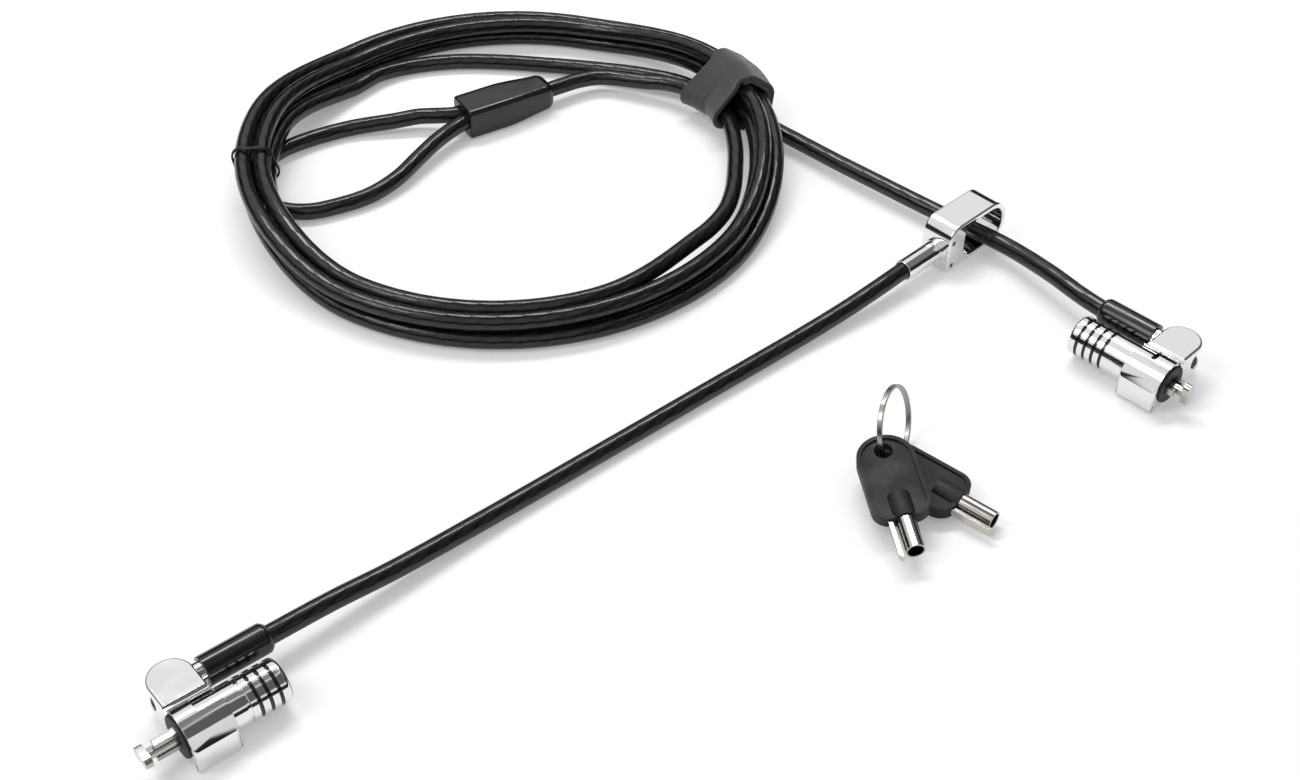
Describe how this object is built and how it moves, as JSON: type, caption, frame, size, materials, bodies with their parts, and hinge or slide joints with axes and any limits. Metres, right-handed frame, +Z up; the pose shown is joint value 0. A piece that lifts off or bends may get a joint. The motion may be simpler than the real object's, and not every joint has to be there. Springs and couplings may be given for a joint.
{
  "type": "laptop cable lock",
  "caption": "Coiled sheathed steel cable with an end loop and a swivelling T-bar lock head, a slider ring with a branch cable and second lock head, and tubular keys on a ring.",
  "frame": {"origin": "middle of the footprint of the hard parts (lock heads, slider and keys), on the table plane", "axes": "+X to the right seen from the front, +Y to the back, +Z up; the object lies on z = 0"},
  "size_m": [0.298, 0.3373, 0.0225],
  "materials": {
    "sheath": "smooth glossy vinyl over steel wire rope",
    "moulding": "semi-gloss moulded plastic",
    "strap": "matt woven hook-and-loop tape",
    "tie": "plastic-coated tie wire",
    "chrome": "bright plated die casting",
    "steel": "satin steel",
    "nickel": "satin nickel",
    "rubber": "matt elastomer",
    "bow": "fine-textured moulded plastic"
  },
  "bodies": {
    "cable_set": {"cable_coil": "sheath", "main_lead": "sheath", "ferrule_lead": "sheath", "end_loop": "sheath", "ferrule_cover": "moulding", "loop_ferrule": "steel", "hook_loop_strap": "strap", "wire_tie": "tie", "main_end_fitting": "steel", "main_crimp_collar": "chrome", "main_sleeve": "moulding"},
    "slider": {"slider_ring": "chrome", "slider_crimp_tube": "chrome", "slider_pins": "steel", "branch_cable": "sheath", "branch_end_fitting": "steel", "branch_crimp_collar": "chrome", "branch_sleeve": "moulding"},
    "key_ring": {"key_ring": "steel"},
    "key_a": {"key_a_bow": "bow", "key_a_blade": "nickel"},
    "key_b": {"key_b_bow": "bow", "key_b_blade": "nickel"},
    "main_head": {"main_collar": "chrome", "main_pivot_pin": "steel"},
    "main_guide": {"main_guide_sleeve": "steel", "main_nose_bumper": "rubber", "main_retaining_ring": "steel", "main_return_spring": "steel"},
    "main_push": {"main_barrel": "chrome", "main_lock_pins": "steel"},
    "main_core": {"main_lock_core": "nickel", "main_tumblers": "steel", "main_t_bar": "nickel"},
    "branch_head": {"branch_collar": "chrome", "branch_pivot_pin": "steel"},
    "branch_guide": {"branch_guide_sleeve": "steel", "branch_nose_bumper": "rubber", "branch_retaining_ring": "steel", "branch_return_spring": "steel"},
    "branch_push": {"branch_barrel": "chrome", "branch_lock_pins": "steel"},
    "branch_core": {"branch_lock_core": "nickel", "branch_tumblers": "steel", "branch_t_bar": "nickel"}
  },
  "joints": [
    {"name": "main_head_swing", "type": "hinge", "parent": "cable_set", "child": "main_head", "pos_m": [0.13647, 0.03618, 0.0084], "axis": [0, 0, 1], "range_deg": [0, 150]},
    {"name": "main_guide_turn", "type": "hinge", "parent": "main_head", "child": "main_guide", "pos_m": [0.1318, 0.0226, 0.007], "axis": [0.7071, -0.7071, 0], "continuous": true},
    {"name": "main_barrel_push", "type": "slide", "parent": "main_guide", "child": "main_push", "axis": [0.7071, -0.7071, 0], "range_m": [0, 0.0035], "deforming": ["main_return_spring"]},
    {"name": "main_core_turn", "type": "hinge", "parent": "main_push", "child": "main_core", "pos_m": [0.1318, 0.0226, 0.007], "axis": [0.7071, -0.7071, 0], "range_deg": [0, 90]},
    {"name": "slider_run", "type": "slide", "parent": "cable_set", "child": "slider", "axis": [0.6884, -0.7254, 0], "range_m": [-0.024, 0.016]},
    {"name": "branch_head_swing", "type": "hinge", "parent": "slider", "child": "branch_head", "pos_m": [-0.13592, -0.08971, 0.0084], "axis": [0, 0, 1], "range_deg": [-150, 0]},
    {"name": "branch_guide_turn", "type": "hinge", "parent": "branch_head", "child": "branch_guide", "pos_m": [-0.1327, -0.1037, 0.007], "axis": [-0.7771, -0.6293, 0], "continuous": true},
    {"name": "branch_barrel_push", "type": "slide", "parent": "branch_guide", "child": "branch_push", "axis": [-0.7771, -0.6293, 0], "range_m": [-0.0035, 0], "deforming": ["branch_return_spring"]},
    {"name": "branch_core_turn", "type": "hinge", "parent": "branch_push", "child": "branch_core", "pos_m": [-0.1327, -0.1037, 0.007], "axis": [-0.7771, -0.6293, 0], "range_deg": [0, 90]},
    {"name": "keys_lift", "type": "slide", "parent": "cable_set", "child": "key_ring", "axis": [0, 0, 1], "range_m": [0, 0.06]},
    {"name": "key_a_swing", "type": "hinge", "parent": "key_ring", "child": "key_a", "pos_m": [0.0455, -0.0085, 0.0096], "axis": [-0.0849, -0.1205, 0.9891], "range_deg": [-55, 0]},
    {"name": "key_b_swing", "type": "hinge", "parent": "key_ring", "child": "key_b", "pos_m": [0.04776, -0.00688, 0.0047], "axis": [0.0355, -0.0282, 0.999], "range_deg": [0, 55]}
  ]
}
